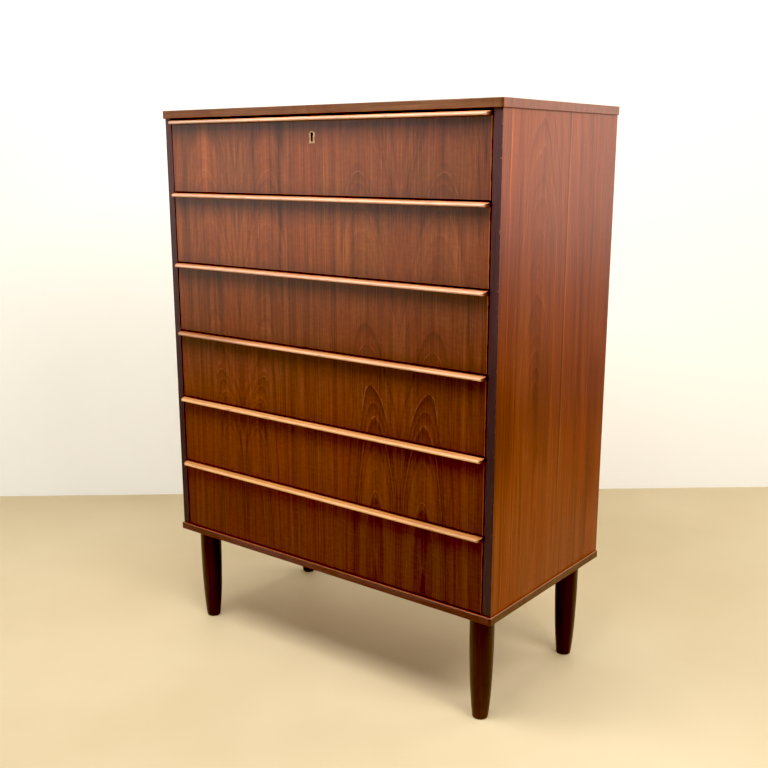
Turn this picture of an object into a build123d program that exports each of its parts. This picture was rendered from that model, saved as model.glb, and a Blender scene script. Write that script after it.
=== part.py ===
from build123d import *
import os

os.makedirs("parts", exist_ok=True)

# Tall chest of six drawers on four turned legs.
# Millimetres, +Z up, front faces -Y.
# Origin: on the floor, under the centre of the chest's outline
# (the outline runs from the noses of the lip pulls to the back of the top).

# ------------------------------------------------------------ driving sizes
WIDTH = 800.0            # top and bottom panels, left to right
HEIGHT = 1096.0          # floor to top surface
PANEL_DEPTH = 410.0      # top and bottom panels, front to back
TOP_T = 15.5             # top panel thickness
BOTTOM_T = 14.0          # bottom panel thickness
LEG_H = 208.0            # floor to underside of bottom panel
SIDE_T = 17.5            # side panel thickness
OVER_SIDE = 3.0          # overhang of top and bottom beyond the sides
OVER_FRONT = 4.0         # the same at the front
OVER_BACK = 1.0          # the same at the back
EDGING_T = 1.5           # lipping on the front edge of each side panel

PULL_OUT = 13.0          # lip pull, projection from the drawer face
PULL_T = 8.0             # lip pull, thickness
PULL_CORNER_R = 8.0      # lip pull, corner radius seen from above

DRAWERS = 6
PITCH = 142.0            # lip pull top to lip pull top
FIRST_GAP = 3.3          # top panel to first lip pull
GAP = 2.2                # between one drawer and the next
SIDE_GAP = 2.0           # drawer front to side panel

FRONT_T = 17.0           # drawer front thickness
DSIDE_T = 13.0           # drawer side thickness
DSIDE_H = 114.0          # drawer side height
DBACK_T = 12.0           # drawer back thickness
DBOTTOM_T = 4.0          # drawer bottom thickness
DRAWER_DEPTH = 375.0     # drawer face to the ends of the drawer sides

RUNNER_T = 9.0           # runner strip, out from the side panel
RUNNER_H = 14.0          # runner strip, height
RUNNER_L = 361.0         # runner strip, length

BACK_T = 5.0             # back panel thickness
REBATE_Y = 6.0           # rebate in the sides for the back, front to back
REBATE_X = 9.0           # the same, sideways
REBATE_Z = 7.0           # rebate in the top and bottom panels, vertical

LEG_X = 356.2            # leg centres from the middle
LEG_R_TOP = 22.8         # leg radius under the panel
LEG_R_FOOT = 14.6        # leg radius just above the foot's eased edge

# ------------------------------------------------------------ derived places
Y_TOPF = -(PANEL_DEPTH - (PULL_OUT - OVER_FRONT)) / 2   # top panel front edge
Y_TOPB = Y_TOPF + PANEL_DEPTH                           # top panel back edge
Y_F = Y_TOPF + OVER_FRONT                               # drawer faces, side edges
Y_B = Y_TOPB - OVER_BACK                                # side panels, back edges
Z_BT = LEG_H + BOTTOM_T                                 # top of bottom panel
Z_TU = HEIGHT - TOP_T                                   # underside of top panel
X_OUT = WIDTH / 2 - OVER_SIDE                           # side panel outer face
X_IN = X_OUT - SIDE_T                                   # side panel inner face
X_DR = X_IN - SIDE_GAP                                  # drawer front half width
X_DI = X_DR - DSIDE_T                                   # drawer side inner face
Y_FB = Y_F + FRONT_T                                    # back of drawer front
Y_DE = Y_F + DRAWER_DEPTH                               # ends of drawer sides
Y_BP = Y_B - REBATE_Y                                   # inner face of back panel
LEG_YF = Y_TOPF + 43.2                                  # front leg centres
LEG_YB = Y_TOPF + 363.3                                 # back leg centres

PULL_TOP = [Z_TU - FIRST_GAP - i * PITCH for i in range(DRAWERS)]
FRONT_TOP = [t - PULL_T for t in PULL_TOP]
FRONT_BOT = [PULL_TOP[i + 1] + GAP for i in range(DRAWERS - 1)] + [Z_BT + GAP]

# runners and the grooves that ride on them
RUNNER_Z = [b + 4.0 + DSIDE_H / 2 for b in FRONT_BOT]
RUNNER_Y0 = Y_F + 30.5
GROOVE_D = 7.5
GROOVE_H = RUNNER_H + 0.6

# lapped dovetails between drawer sides and fronts
TAILS = 4
TAIL_LEN = 11.0
TAIL_BASE = 9.5
TAIL_TIP = 11.4
TAIL_PITCH = DSIDE_H / TAILS

# lock in the first drawer
LOCK_X = -1.5
LOCK_TOP = PULL_TOP[0] - 0.2
LOCK_H = 46.0
LOCK_HALF = 26.0
LOCK_D = 11.0
KEY_Z = 1046.0
KEY_R = 3.3
KEY_W = 4.5
BOLT_HALF = 11.0
BOLT_T = 4.0
BOLT_Y = Y_FB - 5.5
BOLT_THROW = 9.0

# fasteners
DOWEL_R = 4.0
DOWEL_X = X_OUT - SIDE_T / 2
DOWEL_Y = [-170.0, -60.0, 60.0, 170.0]
SCREW_R = 1.6
RUNNER_SCREW_Y = [RUNNER_Y0 + 24.0, RUNNER_Y0 + RUNNER_L / 2, RUNNER_Y0 + RUNNER_L - 24.0]
BACK_SCREWS = (
    [(s * (X_IN + 4.5), z) for s in (-1, 1) for z in (265.0, 460.0, 655.0, 850.0, 1045.0)]
    + [(x, Z_TU + 3.5) for x in (-300.0, -150.0, 0.0, 150.0, 300.0)]
    + [(x, Z_BT - 3.5) for x in (-300.0, -150.0, 0.0, 150.0, 300.0)]
)
STUD_R = 4.0

# ------------------------------------------------------------ top panel
with BuildPart() as top_panel:
    with BuildSketch(Plane.XY.offset(Z_TU)):
        with Locations((0, (Y_TOPF + Y_TOPB) / 2)):
            RectangleRounded(WIDTH, PANEL_DEPTH, 2.5)
    extrude(amount=TOP_T)
    fillet(top_panel.faces().sort_by(Axis.Z)[-1].edges(), radius=1.6)
    fillet(top_panel.faces().sort_by(Axis.Z)[0].edges(), radius=1.2)
    # rebate behind for the back panel
    with BuildSketch(Plane.XY.offset(Z_TU)):
        with Locations((0, (Y_BP + Y_TOPB + 5) / 2)):
            Rectangle(2 * (X_IN + REBATE_X), Y_TOPB + 5 - Y_BP)
    extrude(amount=REBATE_Z, mode=Mode.SUBTRACT)
    # mortise for the lock bolt
    with BuildSketch(Plane.XY.offset(Z_TU)):
        with Locations((LOCK_X, BOLT_Y)):
            Rectangle(2 * BOLT_HALF + 4, BOLT_T + 4)
    extrude(amount=9.0, mode=Mode.SUBTRACT)
    # dowel holes over the side panels
    with BuildSketch(Plane.XY.offset(Z_TU)):
        with Locations(*[(s * DOWEL_X, y) for s in (-1, 1) for y in DOWEL_Y]):
            Circle(DOWEL_R)
    extrude(amount=10.0, mode=Mode.SUBTRACT)
    # pilot holes for the back panel's screws
    with BuildSketch(Plane.XZ.offset(-Y_BP)):
        with Locations(*[(x, z) for x, z in BACK_SCREWS if z > Z_TU]):
            Circle(SCREW_R)
    extrude(amount=9.0, mode=Mode.SUBTRACT)
top_panel.part.label = "top_panel"
export_step(top_panel.part, "parts/top_panel.step")

# ------------------------------------------------------------ bottom panel
with BuildPart() as bottom_panel:
    with BuildSketch(Plane.XY.offset(LEG_H)):
        with Locations((0, (Y_TOPF + Y_TOPB) / 2)):
            RectangleRounded(WIDTH, PANEL_DEPTH, 2.5)
    extrude(amount=BOTTOM_T)
    fillet(bottom_panel.faces().sort_by(Axis.Z)[-1].edges(), radius=1.4)
    fillet(bottom_panel.faces().sort_by(Axis.Z)[0].edges(), radius=1.2)
    with BuildSketch(Plane.XY.offset(Z_BT)):
        with Locations((0, (Y_BP + Y_TOPB + 5) / 2)):
            Rectangle(2 * (X_IN + REBATE_X), Y_TOPB + 5 - Y_BP)
    extrude(amount=-REBATE_Z, mode=Mode.SUBTRACT)
    with BuildSketch(Plane.XY.offset(Z_BT)):
        with Locations(*[(s * DOWEL_X, y) for s in (-1, 1) for y in DOWEL_Y]):
            Circle(DOWEL_R)
    extrude(amount=-9.0, mode=Mode.SUBTRACT)
    with BuildSketch(Plane.XZ.offset(-Y_BP)):
        with Locations(*[(x, z) for x, z in BACK_SCREWS if z < Z_BT]):
            Circle(SCREW_R)
    extrude(amount=9.0, mode=Mode.SUBTRACT)
    # holes for the leg studs, wider above for the barrels of the tee nuts
    with BuildSketch(Plane.XY.offset(LEG_H)):
        with Locations(*[(s * LEG_X, y) for s in (-1, 1) for y in (LEG_YF, LEG_YB)]):
            Circle(STUD_R)
    extrude(amount=BOTTOM_T, mode=Mode.SUBTRACT)
    with BuildSketch(Plane.XY.offset(Z_BT)):
        with Locations(*[(s * LEG_X, y) for s in (-1, 1) for y in (LEG_YF, LEG_YB)]):
            Circle(5.3)
    extrude(amount=-10.0, mode=Mode.SUBTRACT)
bottom_panel.part.label = "bottom_panel"
export_step(bottom_panel.part, "parts/bottom_panel.step")

# ------------------------------------------------------------ side panels
with BuildPart() as left_side_panel:
    with BuildSketch(Plane.XY.offset(Z_BT)):
        with Locations((-(X_IN + SIDE_T / 2), (Y_F + EDGING_T + Y_B) / 2)):
            Rectangle(SIDE_T, Y_B - Y_F - EDGING_T)
    extrude(amount=Z_TU - Z_BT)
    fillet(left_side_panel.edges().filter_by(Axis.Z).group_by(Axis.Y)[-1].sort_by(Axis.X)[0], radius=1.2)
    with BuildSketch(Plane.XY.offset(Z_BT)):
        with Locations((-(X_IN + REBATE_X / 2), (Y_BP + Y_B + 5) / 2)):
            Rectangle(REBATE_X, Y_B + 5 - Y_BP)
    extrude(amount=Z_TU - Z_BT, mode=Mode.SUBTRACT)
    with BuildSketch(Plane.XY.offset(Z_TU)):
        with Locations(*[(-DOWEL_X, y) for y in DOWEL_Y]):
            Circle(DOWEL_R)
    extrude(amount=-20.0, mode=Mode.SUBTRACT)
    with BuildSketch(Plane.XY.offset(Z_BT)):
        with Locations(*[(-DOWEL_X, y) for y in DOWEL_Y]):
            Circle(DOWEL_R)
    extrude(amount=21.0, mode=Mode.SUBTRACT)
    with BuildSketch(Plane.YZ.offset(-X_IN)):
        with Locations(*[(y, z) for y in RUNNER_SCREW_Y for z in RUNNER_Z]):
            Circle(SCREW_R)
    extrude(amount=-10.5, mode=Mode.SUBTRACT)
    with BuildSketch(Plane.XZ.offset(-Y_BP)):
        with Locations(*[(x, z) for x, z in BACK_SCREWS if x < -X_IN]):
            Circle(SCREW_R)
    extrude(amount=9.0, mode=Mode.SUBTRACT)
left_side_panel.part.label = "left_side_panel"
export_step(left_side_panel.part, "parts/left_side_panel.step")

with BuildPart() as right_side_panel:
    with BuildSketch(Plane.XY.offset(Z_BT)):
        with Locations((X_IN + SIDE_T / 2, (Y_F + EDGING_T + Y_B) / 2)):
            Rectangle(SIDE_T, Y_B - Y_F - EDGING_T)
    extrude(amount=Z_TU - Z_BT)
    fillet(right_side_panel.edges().filter_by(Axis.Z).group_by(Axis.Y)[-1].sort_by(Axis.X)[-1], radius=1.2)
    with BuildSketch(Plane.XY.offset(Z_BT)):
        with Locations((X_IN + REBATE_X / 2, (Y_BP + Y_B + 5) / 2)):
            Rectangle(REBATE_X, Y_B + 5 - Y_BP)
    extrude(amount=Z_TU - Z_BT, mode=Mode.SUBTRACT)
    with BuildSketch(Plane.XY.offset(Z_TU)):
        with Locations(*[(DOWEL_X, y) for y in DOWEL_Y]):
            Circle(DOWEL_R)
    extrude(amount=-20.0, mode=Mode.SUBTRACT)
    with BuildSketch(Plane.XY.offset(Z_BT)):
        with Locations(*[(DOWEL_X, y) for y in DOWEL_Y]):
            Circle(DOWEL_R)
    extrude(amount=21.0, mode=Mode.SUBTRACT)
    with BuildSketch(Plane.YZ.offset(X_IN)):
        with Locations(*[(y, z) for y in RUNNER_SCREW_Y for z in RUNNER_Z]):
            Circle(SCREW_R)
    extrude(amount=10.5, mode=Mode.SUBTRACT)
    with BuildSketch(Plane.XZ.offset(-Y_BP)):
        with Locations(*[(x, z) for x, z in BACK_SCREWS if x > X_IN]):
            Circle(SCREW_R)
    extrude(amount=9.0, mode=Mode.SUBTRACT)
right_side_panel.part.label = "right_side_panel"
export_step(right_side_panel.part, "parts/right_side_panel.step")

# ------------------------------------------------------------ front edgings
with BuildPart() as left_front_edging:
    with BuildSketch(Plane.XY.offset(Z_BT)):
        with Locations((-(X_IN + SIDE_T / 2), Y_F + EDGING_T / 2)):
            Rectangle(SIDE_T, EDGING_T)
    extrude(amount=Z_TU - Z_BT)
    fillet(left_front_edging.edges().filter_by(Axis.Z).group_by(Axis.Y)[0], radius=0.9)
left_front_edging.part.label = "left_front_edging"
export_step(left_front_edging.part, "parts/left_front_edging.step")

with BuildPart() as right_front_edging:
    with BuildSketch(Plane.XY.offset(Z_BT)):
        with Locations((X_IN + SIDE_T / 2, Y_F + EDGING_T / 2)):
            Rectangle(SIDE_T, EDGING_T)
    extrude(amount=Z_TU - Z_BT)
    fillet(right_front_edging.edges().filter_by(Axis.Z).group_by(Axis.Y)[0], radius=0.9)
right_front_edging.part.label = "right_front_edging"
export_step(right_front_edging.part, "parts/right_front_edging.step")

# ------------------------------------------------------------ back panel
with BuildPart() as back_panel:
    with BuildSketch(Plane.XZ.offset(-Y_BP)):
        with Locations((0, (Z_BT + Z_TU) / 2)):
            Rectangle(2 * (X_IN + REBATE_X - 0.5), Z_TU - Z_BT + 2 * (REBATE_Z - 0.5))
    extrude(amount=-BACK_T)
    with BuildSketch(Plane.XZ.offset(-Y_BP)):
        with Locations(*BACK_SCREWS):
            Circle(SCREW_R)
    extrude(amount=-BACK_T, mode=Mode.SUBTRACT)
back_panel.part.label = "back_panel"
export_step(back_panel.part, "parts/back_panel.step")

# screws of the back panel: low domed heads
with BuildPart() as back_panel_screws:
    with BuildSketch(Plane.XZ.offset(-(Y_BP + BACK_T))):
        with Locations(*BACK_SCREWS):
            Circle(SCREW_R)
    extrude(amount=BACK_T + 9.0)
    with BuildSketch(Plane.XZ.offset(-(Y_BP + BACK_T))):
        with Locations(*BACK_SCREWS):
            Circle(2.9)
    extrude(amount=-0.9, taper=35)
back_panel_screws.part.label = "back_panel_screws"
export_step(back_panel_screws.part, "parts/back_panel_screws.step")

# ------------------------------------------------------------ drawer runners
with BuildPart() as left_drawer_runners:
    with BuildSketch(Plane.YZ.offset(-X_IN)):
        with Locations(*[(RUNNER_Y0 + RUNNER_L / 2, z) for z in RUNNER_Z]):
            Rectangle(RUNNER_L, RUNNER_H)
    extrude(amount=RUNNER_T)
    chamfer(left_drawer_runners.edges().filter_by(Axis.Z).group_by(Axis.Y)[0].group_by(Axis.X)[-1], length=2.0)
    with BuildSketch(Plane.YZ.offset(-X_IN)):
        with Locations(*[(y, z) for y in RUNNER_SCREW_Y for z in RUNNER_Z]):
            Circle(SCREW_R)
    extrude(amount=RUNNER_T, mode=Mode.SUBTRACT)
    with BuildSketch(Plane.YZ.offset(-X_IN + RUNNER_T)):
        with Locations(*[(y, z) for y in RUNNER_SCREW_Y for z in RUNNER_Z]):
            Circle(3.6)
    extrude(amount=-2.0, taper=45, mode=Mode.SUBTRACT)
left_drawer_runners.part.label = "left_drawer_runners"
export_step(left_drawer_runners.part, "parts/left_drawer_runners.step")

with BuildPart() as right_drawer_runners:
    with BuildSketch(Plane.YZ.offset(X_IN)):
        with Locations(*[(RUNNER_Y0 + RUNNER_L / 2, z) for z in RUNNER_Z]):
            Rectangle(RUNNER_L, RUNNER_H)
    extrude(amount=-RUNNER_T)
    chamfer(right_drawer_runners.edges().filter_by(Axis.Z).group_by(Axis.Y)[0].group_by(Axis.X)[0], length=2.0)
    with BuildSketch(Plane.YZ.offset(X_IN)):
        with Locations(*[(y, z) for y in RUNNER_SCREW_Y for z in RUNNER_Z]):
            Circle(SCREW_R)
    extrude(amount=-RUNNER_T, mode=Mode.SUBTRACT)
    with BuildSketch(Plane.YZ.offset(X_IN - RUNNER_T)):
        with Locations(*[(y, z) for y in RUNNER_SCREW_Y for z in RUNNER_Z]):
            Circle(3.6)
    extrude(amount=2.0, taper=45, mode=Mode.SUBTRACT)
right_drawer_runners.part.label = "right_drawer_runners"
export_step(right_drawer_runners.part, "parts/right_drawer_runners.step")

# countersunk screws that hold the runners
with BuildPart() as runner_screws:
    with BuildSketch(Plane.YZ.offset(X_IN - RUNNER_T)):
        with Locations(*[(y, z) for y in RUNNER_SCREW_Y for z in RUNNER_Z]):
            Circle(SCREW_R)
    extrude(amount=RUNNER_T + 10.5)
    with BuildSketch(Plane.YZ.offset(X_IN - RUNNER_T)):
        with Locations(*[(y, z) for y in RUNNER_SCREW_Y for z in RUNNER_Z]):
            Circle(3.6)
    extrude(amount=2.0, taper=45)
    with BuildSketch(Plane.YZ.offset(-X_IN + RUNNER_T)):
        with Locations(*[(y, z) for y in RUNNER_SCREW_Y for z in RUNNER_Z]):
            Circle(SCREW_R)
    extrude(amount=-(RUNNER_T + 10.5))
    with BuildSketch(Plane.YZ.offset(-X_IN + RUNNER_T)):
        with Locations(*[(y, z) for y in RUNNER_SCREW_Y for z in RUNNER_Z]):
            Circle(3.6)
    extrude(amount=-2.0, taper=45)
runner_screws.part.label = "runner_screws"
export_step(runner_screws.part, "parts/runner_screws.step")

# ------------------------------------------------------------ case dowels
with BuildPart() as case_dowels:
    with BuildSketch(Plane.XY.offset(Z_TU - 20.0)):
        with Locations(*[(s * DOWEL_X, y) for s in (-1, 1) for y in DOWEL_Y]):
            Circle(DOWEL_R)
    extrude(amount=30.0)
    with BuildSketch(Plane.XY.offset(Z_BT - 9.0)):
        with Locations(*[(s * DOWEL_X, y) for s in (-1, 1) for y in DOWEL_Y]):
            Circle(DOWEL_R)
    extrude(amount=30.0)
case_dowels.part.label = "case_dowels"
export_step(case_dowels.part, "parts/case_dowels.step")

# ------------------------------------------------------------ legs
# radius at each height: nearly straight above, drawing in faster to the foot
LEG_PROFILE = [
    (LEG_R_TOP, LEG_H), (22.6, 168.0), (22.05, 130.0), (21.1, 94.0),
    (19.7, 62.0), (17.9, 36.0), (16.1, 15.0), (LEG_R_FOOT, 3.0),
]
for leg_name, lx, ly in (
    ("leg_front_left", -LEG_X, LEG_YF),
    ("leg_front_right", LEG_X, LEG_YF),
    ("leg_back_left", -LEG_X, LEG_YB),
    ("leg_back_right", LEG_X, LEG_YB),
):
    with BuildPart() as leg:
        with BuildSketch(Plane((lx, ly, 0), x_dir=(1, 0, 0), z_dir=(0, -1, 0))):
            with BuildLine():
                Line((0, LEG_H), (LEG_R_TOP, LEG_H))
                Spline(*LEG_PROFILE)
                Spline((LEG_R_FOOT, 3.0), (13.9, 0.9), (12.4, 0.0), tangents=[(-0.12, -1), (-1, -0.05)])
                Line((12.4, 0.0), (0, 0))
                Line((0, 0), (0, LEG_H))
            make_face()
        revolve(axis=Axis((lx, ly, 0), (0, 0, 1)))
        with BuildSketch(Plane.XY.offset(LEG_H)):
            with Locations((lx, ly)):
                Circle(STUD_R)
        extrude(amount=-30.0, mode=Mode.SUBTRACT)
    leg.part.label = leg_name
    export_step(leg.part, f"parts/{leg_name}.step")

with BuildPart() as leg_studs:
    with BuildSketch(Plane.XY.offset(LEG_H - 30.0)):
        with Locations(*[(s * LEG_X, y) for s in (-1, 1) for y in (LEG_YF, LEG_YB)]):
            Circle(STUD_R)
    extrude(amount=30.0 + BOTTOM_T + 1.0)
leg_studs.part.label = "leg_studs"
export_step(leg_studs.part, "parts/leg_studs.step")

with BuildPart() as leg_tee_nuts:
    with BuildSketch(Plane.XY.offset(Z_BT - 10.0)):
        with Locations(*[(s * LEG_X, y) for s in (-1, 1) for y in (LEG_YF, LEG_YB)]):
            Circle(5.3)
    extrude(amount=10.0)
    with BuildSketch(Plane.XY.offset(Z_BT)):
        with Locations(*[(s * LEG_X, y) for s in (-1, 1) for y in (LEG_YF, LEG_YB)]):
            Circle(11.0)
    extrude(amount=1.5)
    with BuildSketch(Plane.XY.offset(Z_BT - 10.0)):
        with Locations(*[(s * LEG_X, y) for s in (-1, 1) for y in (LEG_YF, LEG_YB)]):
            Circle(STUD_R)
    extrude(amount=11.5, mode=Mode.SUBTRACT)
leg_tee_nuts.part.label = "leg_tee_nuts"
export_step(leg_tee_nuts.part, "parts/leg_tee_nuts.step")

# ------------------------------------------------------------ drawers
for n in range(1, DRAWERS + 1):
    zb = FRONT_BOT[n - 1]
    zt = FRONT_TOP[n - 1]
    zp = PULL_TOP[n - 1]
    zs = zb + 4.0                       # underside of the drawer sides
    z_ply = zb + 12.0                   # underside of the drawer bottom
    tail_z = [zs + (k + 0.5) * TAIL_PITCH for k in range(TAILS)]
    y_tip = Y_FB - TAIL_LEN

    # front: sockets for the dovetails at both ends, groove for the bottom
    with BuildPart() as front:
        with BuildSketch(Plane.XZ.offset(-Y_F)):
            with Locations((0, (zb + zt) / 2)):
                Rectangle(2 * X_DR, zt - zb)
        extrude(amount=-FRONT_T)
        chamfer(front.edges().group_by(Axis.Y)[0].filter_by(Axis.Z), length=0.7)
        chamfer(front.edges().group_by(Axis.Y)[0].filter_by(Axis.X).sort_by(Axis.Z)[0], length=0.7)
        for x0 in (X_DI, -X_DR):
            with BuildSketch(Plane.YZ.offset(x0)):
                for c in tail_z:
                    with BuildLine():
                        Polyline(
                            (Y_FB, c - TAIL_BASE), (y_tip, c - TAIL_TIP),
                            (y_tip, c + TAIL_TIP), (Y_FB, c + TAIL_BASE), close=True,
                        )
                    make_face()
            extrude(amount=DSIDE_T, mode=Mode.SUBTRACT)
        with BuildSketch(Plane.XZ.offset(-Y_FB)):
            with Locations((0, z_ply + 2.1)):
                Rectangle(2 * (X_DI + 5.0), DBOTTOM_T + 0.2)
        extrude(amount=6.0, mode=Mode.SUBTRACT)
        if n == 1:
            # mortise for the lock, recess for its flange, keyhole, seat of the escutcheon
            with BuildSketch(Plane.XZ.offset(-Y_FB)):
                with Locations((LOCK_X, (LOCK_TOP - LOCK_H + zt + 1) / 2)):
                    Rectangle(2 * LOCK_HALF, zt + 1 - (LOCK_TOP - LOCK_H))
            extrude(amount=LOCK_D, mode=Mode.SUBTRACT)
            with BuildSketch(Plane.XZ.offset(-Y_FB)):
                with Locations((LOCK_X, LOCK_TOP - LOCK_H + 18.0)):
                    Rectangle(2 * LOCK_HALF + 14, 36.0)
            extrude(amount=1.5, mode=Mode.SUBTRACT)
            with BuildSketch(Plane.XZ.offset(-Y_FB)):
                with Locations(*[(LOCK_X + s * 29.5, z) for s in (-1, 1) for z in (1038.0, 1060.0)]):
                    Circle(1.2)
            extrude(amount=11.0, mode=Mode.SUBTRACT)
            with BuildSketch(Plane.XZ.offset(-Y_F)):
                with Locations((LOCK_X, KEY_Z)):
                    Circle(3.6)
                with Locations((LOCK_X, KEY_Z - 7.0)):
                    Rectangle(5.0, 14.0)
            extrude(amount=-FRONT_T, mode=Mode.SUBTRACT)
            with BuildSketch(Plane.XZ.offset(-Y_F)):
                with Locations((LOCK_X, KEY_Z - 2.3)):
                    Circle(7.3)
                with BuildLine():
                    Polyline(
                        (LOCK_X - 5.8, KEY_Z - 5.0), (LOCK_X - 7.3, KEY_Z - 16.6),
                        (LOCK_X + 7.3, KEY_Z - 16.6), (LOCK_X + 5.8, KEY_Z - 5.0), close=True,
                    )
                make_face()
            extrude(amount=-2.4, mode=Mode.SUBTRACT)
    front.part.label = f"drawer_{n}_front"
    export_step(front.part, f"parts/drawer_{n}_front.step")

    # lip pull: a strip along the top of the front that runs out into a nose
    with BuildPart() as lip_pull:
        with BuildSketch(Plane.YZ.offset(-X_DR)):
            with BuildLine():
                Line((Y_FB, zp - PULL_T), (Y_FB, zp))
                Line((Y_FB, zp), (Y_F, zp))
                Line((Y_F, zp), (Y_F - 9.6, zp - 2.7))
                Spline(
                    (Y_F - 9.6, zp - 2.7), (Y_F - 12.3, zp - 4.0), (Y_F - PULL_OUT, zp - 5.5),
                    (Y_F - 12.4, zp - 7.1), (Y_F - 11.0, zp - 7.8),
                    tangents=[(-9.6, -2.7), (1, 0)],
                )
                Line((Y_F - 11.0, zp - 7.8), (Y_F - 9.0, zp - 7.6))
                Spline(
                    (Y_F - 9.0, zp - 7.6), (Y_F - 4.6, zp - 6.5), (Y_F, zp - PULL_T),
                    tangents=[(1, 0.3), (1, -0.9)],
                )
                Line((Y_F, zp - PULL_T), (Y_FB, zp - PULL_T))
            make_face()
        extrude(amount=2 * X_DR)
        with BuildSketch(Plane.XY.offset(zp - PULL_T - 1)):
            with BuildLine():
                Line((-X_DR, Y_FB + 1), (-X_DR, Y_F - PULL_OUT + PULL_CORNER_R))
                RadiusArc(
                    (-X_DR, Y_F - PULL_OUT + PULL_CORNER_R),
                    (-X_DR + PULL_CORNER_R, Y_F - PULL_OUT), -PULL_CORNER_R,
                )
                Line((-X_DR + PULL_CORNER_R, Y_F - PULL_OUT), (X_DR - PULL_CORNER_R, Y_F - PULL_OUT))
                RadiusArc(
                    (X_DR - PULL_CORNER_R, Y_F - PULL_OUT),
                    (X_DR, Y_F - PULL_OUT + PULL_CORNER_R), -PULL_CORNER_R,
                )
                Line((X_DR, Y_F - PULL_OUT + PULL_CORNER_R), (X_DR, Y_FB + 1))
                Line((X_DR, Y_FB + 1), (-X_DR, Y_FB + 1))
            make_face()
        extrude(amount=PULL_T + 2, mode=Mode.INTERSECT)
        if n == 1:
            with BuildSketch(Plane.XY.offset(zp - PULL_T)):
                with Locations((LOCK_X, Y_FB - LOCK_D / 2)):
                    Rectangle(2 * LOCK_HALF, LOCK_D)
            extrude(amount=PULL_T, mode=Mode.SUBTRACT)
    lip_pull.part.label = f"drawer_{n}_lip_pull"
    export_step(lip_pull.part, f"parts/drawer_{n}_lip_pull.step")

    # sides: tails at the front end, runner groove outside, bottom groove and
    # housing for the back inside
    outline = [(Y_DE, zs), (Y_DE, zs + DSIDE_H), (Y_FB, zs + DSIDE_H)]
    for c in reversed(tail_z):
        outline += [
            (Y_FB, c + TAIL_BASE), (y_tip, c + TAIL_TIP),
            (y_tip, c - TAIL_TIP), (Y_FB, c - TAIL_BASE),
        ]
    outline += [(Y_FB, zs)]
    y_back = Y_DE - 18.0                # front face of the drawer back

    with BuildPart() as left_side:
        with BuildSketch(Plane.YZ.offset(-X_DR)):
            with BuildLine():
                Polyline(*outline, close=True)
            make_face()
        extrude(amount=DSIDE_T)
        with BuildSketch(Plane.YZ.offset(-X_DR)):
            with Locations(((RUNNER_Y0 - 2 + Y_DE) / 2, RUNNER_Z[n - 1])):
                Rectangle(Y_DE - RUNNER_Y0 + 2, GROOVE_H)
        extrude(amount=GROOVE_D, mode=Mode.SUBTRACT)
        with BuildSketch(Plane.YZ.offset(-X_DI)):
            with Locations(((y_tip + Y_DE) / 2, z_ply + 2.1)):
                Rectangle(Y_DE - y_tip, DBOTTOM_T + 0.2)
        extrude(amount=-5.0, mode=Mode.SUBTRACT)
        with BuildSketch(Plane.YZ.offset(-X_DI)):
            with Locations((y_back + DBACK_T / 2, (z_ply + DBOTTOM_T + zs + DSIDE_H - 6) / 2)):
                Rectangle(DBACK_T, zs + DSIDE_H - 6 - z_ply - DBOTTOM_T)
        extrude(amount=-4.0, mode=Mode.SUBTRACT)
    left_side.part.label = f"drawer_{n}_left_side"
    export_step(left_side.part, f"parts/drawer_{n}_left_side.step")

    with BuildPart() as right_side:
        with BuildSketch(Plane.YZ.offset(X_DI)):
            with BuildLine():
                Polyline(*outline, close=True)
            make_face()
        extrude(amount=DSIDE_T)
        with BuildSketch(Plane.YZ.offset(X_DR)):
            with Locations(((RUNNER_Y0 - 2 + Y_DE) / 2, RUNNER_Z[n - 1])):
                Rectangle(Y_DE - RUNNER_Y0 + 2, GROOVE_H)
        extrude(amount=-GROOVE_D, mode=Mode.SUBTRACT)
        with BuildSketch(Plane.YZ.offset(X_DI)):
            with Locations(((y_tip + Y_DE) / 2, z_ply + 2.1)):
                Rectangle(Y_DE - y_tip, DBOTTOM_T + 0.2)
        extrude(amount=5.0, mode=Mode.SUBTRACT)
        with BuildSketch(Plane.YZ.offset(X_DI)):
            with Locations((y_back + DBACK_T / 2, (z_ply + DBOTTOM_T + zs + DSIDE_H - 6) / 2)):
                Rectangle(DBACK_T, zs + DSIDE_H - 6 - z_ply - DBOTTOM_T)
        extrude(amount=4.0, mode=Mode.SUBTRACT)
    right_side.part.label = f"drawer_{n}_right_side"
    export_step(right_side.part, f"parts/drawer_{n}_right_side.step")

    # back: housed in the sides, standing on the bottom
    with BuildPart() as back:
        with BuildSketch(Plane.XZ.offset(-y_back)):
            with Locations((0, (z_ply + DBOTTOM_T + zs + DSIDE_H - 6) / 2)):
                Rectangle(2 * (X_DI + 4.0), zs + DSIDE_H - 6 - z_ply - DBOTTOM_T)
        extrude(amount=-DBACK_T)
    back.part.label = f"drawer_{n}_back"
    export_step(back.part, f"parts/drawer_{n}_back.step")

    # bottom: thin board in the grooves, running out under the back
    with BuildPart() as bottom:
        with BuildSketch(Plane.XY.offset(z_ply)):
            with Locations((0, (Y_FB - 5.7 + Y_DE - 4) / 2)):
                Rectangle(2 * (X_DI + 4.7), Y_DE - 4 - (Y_FB - 5.7))
        extrude(amount=DBOTTOM_T)
    bottom.part.label = f"drawer_{n}_bottom"
    export_step(bottom.part, f"parts/drawer_{n}_bottom.step")

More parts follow.
